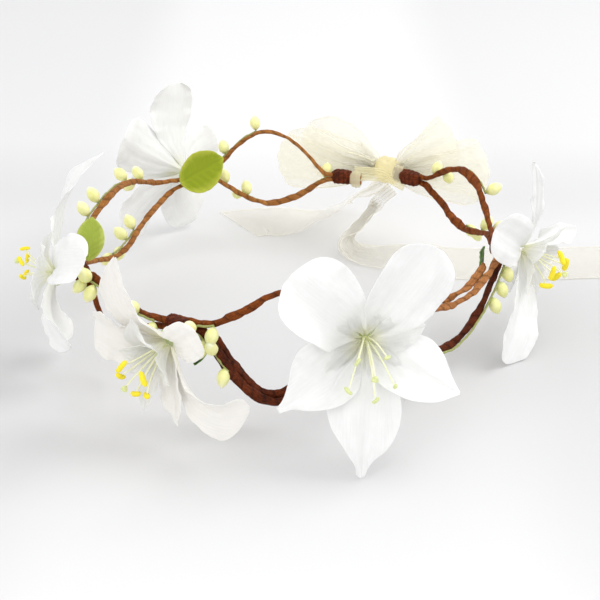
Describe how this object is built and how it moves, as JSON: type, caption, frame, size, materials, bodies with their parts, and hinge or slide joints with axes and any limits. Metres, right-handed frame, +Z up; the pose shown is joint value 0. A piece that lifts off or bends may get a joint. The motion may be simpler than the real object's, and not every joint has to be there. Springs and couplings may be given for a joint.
{
  "type": "flower crown",
  "caption": "Head wreath of twisted paper-covered wire vines in open eyes, with white fabric lilies, leaves and berry sprigs, tied at the back by a sheer ribbon bow.",
  "frame": {"origin": "centre of the head opening, on the surface that the crown lies on", "axes": "+Z up out of the head opening, -Y towards the wearer's front, where the largest lily is near -Y, +X to the right as seen from the front"},
  "size_m": [0.2942, 0.2666, 0.0912],
  "materials": {
    "vine": "reddish-brown bark paper wound round wire",
    "tape": "dark brown florist's tape",
    "petal": "white woven petals with a soft sheen, faintly green at the throat",
    "stamen": "pale stalks with dusty yellow tips",
    "calyx": "pale green moulding",
    "leaf": "printed green cloth with a waxy sheen",
    "berry": "pale yellow-green foam pips with a thin skin",
    "ribbon": "sheer cream organza"
  },
  "bodies": {
    "crown": {"berries_back_lower": "berry", "berries_back_upper": "berry", "berries_front": "berry", "berries_left_back_lower": "berry", "berries_left_back_upper": "berry", "berries_left_front": "berry", "berries_right_back_lower": "berry", "berries_right_back_upper": "berry", "berries_right_front": "berry", "bow_knot": "ribbon", "bow_loops_left": "ribbon", "bow_loops_right": "ribbon", "lashing_back_left": "tape", "lashing_front": "tape", "lashing_front_left": "tape", "lashing_left": "tape", "lashing_left_end": "tape", "lashing_right": "tape", "lashing_right_end": "tape", "leaf_back_left": "leaf", "leaf_front_left": "leaf", "leaf_left": "leaf", "leaf_right": "leaf", "ribbon_tail_left": "ribbon", "ribbon_tail_right": "ribbon", "ribbon_tie": "ribbon", "vine_back_lower": "vine", "vine_back_upper": "vine", "vine_front_lower": "vine", "vine_front_lower_double": "vine", "vine_front_upper": "vine", "vine_left_back_lower": "vine", "vine_left_back_upper": "vine", "vine_left_front_lower": "vine", "vine_left_front_upper": "vine", "vine_right_back_lower": "vine", "vine_right_back_upper": "vine", "vine_right_front_lower": "vine", "vine_right_front_upper": "vine", "vine_right_front_upper_double": "vine"},
    "front_lily": {"front_lily_calyx": "calyx", "front_lily_inner_petals": "petal", "front_lily_outer_petals": "petal", "front_lily_stamens": "stamen"},
    "front_left_lily": {"front_left_lily_calyx": "calyx", "front_left_lily_inner_petals": "petal", "front_left_lily_outer_petals": "petal", "front_left_lily_stamens": "stamen"},
    "left_lily": {"left_lily_calyx": "calyx", "left_lily_inner_petals": "petal", "left_lily_outer_petals": "petal", "left_lily_stamens": "stamen"},
    "back_left_lily": {"back_left_lily_calyx": "calyx", "back_left_lily_inner_petals": "petal", "back_left_lily_outer_petals": "petal", "back_left_lily_stamens": "stamen"},
    "right_lily": {"right_lily_calyx": "calyx", "right_lily_inner_petals": "petal", "right_lily_outer_petals": "petal", "right_lily_stamens": "stamen"}
  },
  "joints": [
    {"name": "front_stem_bend", "type": "hinge", "parent": "crown", "child": "front_lily", "pos_m": [0.03011, -0.09268, 0.042], "axis": [0, 0, 1], "range_deg": [-12, 12]},
    {"name": "front_left_stem_bend", "type": "hinge", "parent": "crown", "child": "front_left_lily", "pos_m": [-0.04118, -0.08832, 0.041], "axis": [0, 0, 1], "range_deg": [-12, 12]},
    {"name": "left_stem_bend", "type": "hinge", "parent": "crown", "child": "left_lily", "pos_m": [-0.09035, -0.03651, 0.041], "axis": [0, 0, 1], "range_deg": [-8, 12]},
    {"name": "back_left_stem_bend", "type": "hinge", "parent": "crown", "child": "back_left_lily", "pos_m": [-0.04724, 0.08523, 0.04], "axis": [0, 0, 1], "range_deg": [-12, 12]},
    {"name": "right_stem_bend", "type": "hinge", "parent": "crown", "child": "right_lily", "pos_m": [0.09739, -0.0034, 0.042], "axis": [0, 0, 1], "range_deg": [-4, 12]}
  ]
}
